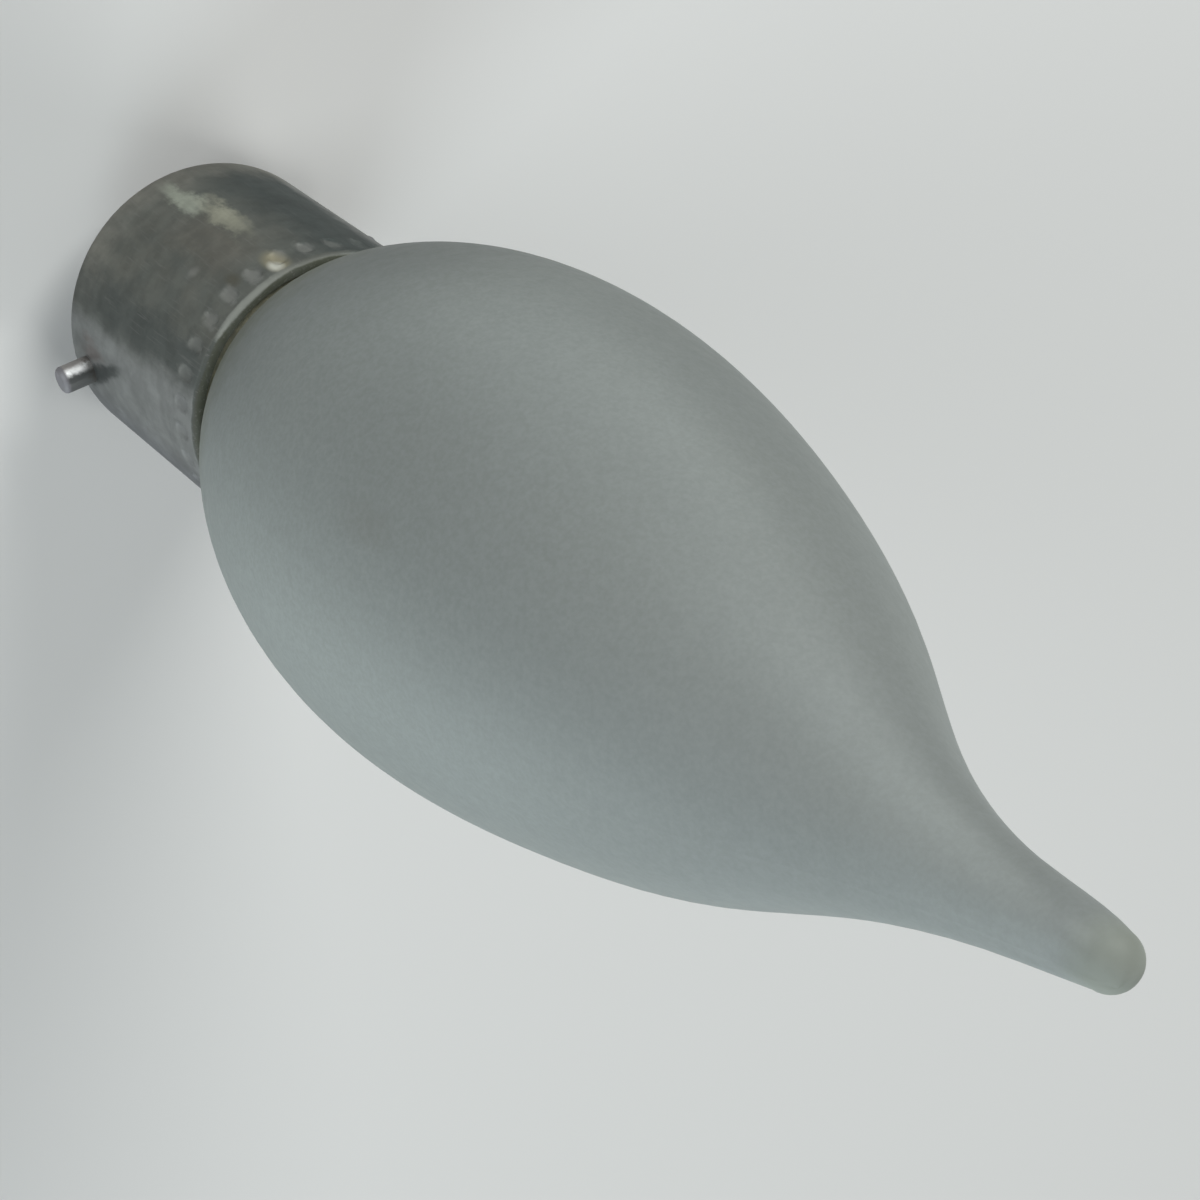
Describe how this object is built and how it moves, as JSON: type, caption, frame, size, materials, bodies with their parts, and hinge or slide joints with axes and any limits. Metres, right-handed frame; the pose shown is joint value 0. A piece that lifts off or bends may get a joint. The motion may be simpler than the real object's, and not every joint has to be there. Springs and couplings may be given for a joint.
{
  "type": "candle bulb",
  "caption": "Frosted candle-shaped light bulb with a drawn-out bent tip, on a plain bayonet cap with side pins and soldered end contacts.",
  "frame": {"origin": "on the bulb's axis, in the plane of the contacts' faces", "axes": "+Z along the bulb's axis from the cap to the tip, +X through the bayonet pins"},
  "size_m": [0.035, 0.035, 0.1154],
  "materials": {
    "frosted_glass": "frosted, matt grey-white",
    "cap_metal": "dull, tarnished",
    "pin_metal": "rubbed bright",
    "cement": "rough, brown",
    "insulator": "black glass",
    "contact_metal": "dull",
    "wire": "drawn copper",
    "solder": "dull grey"
  },
  "bodies": {
    "root": {"glass_bulb": "frosted_glass", "cap_shell": "cap_metal", "bayonet_pin_right": "pin_metal", "bayonet_pin_left": "pin_metal", "capping_cement": "cement", "cap_insulator": "insulator", "contact_plate_front": "contact_metal", "contact_plate_back": "contact_metal", "lead_wire_front": "wire", "lead_wire_back": "wire", "solder_front": "solder", "solder_back": "solder"}
  },
  "joints": []
}
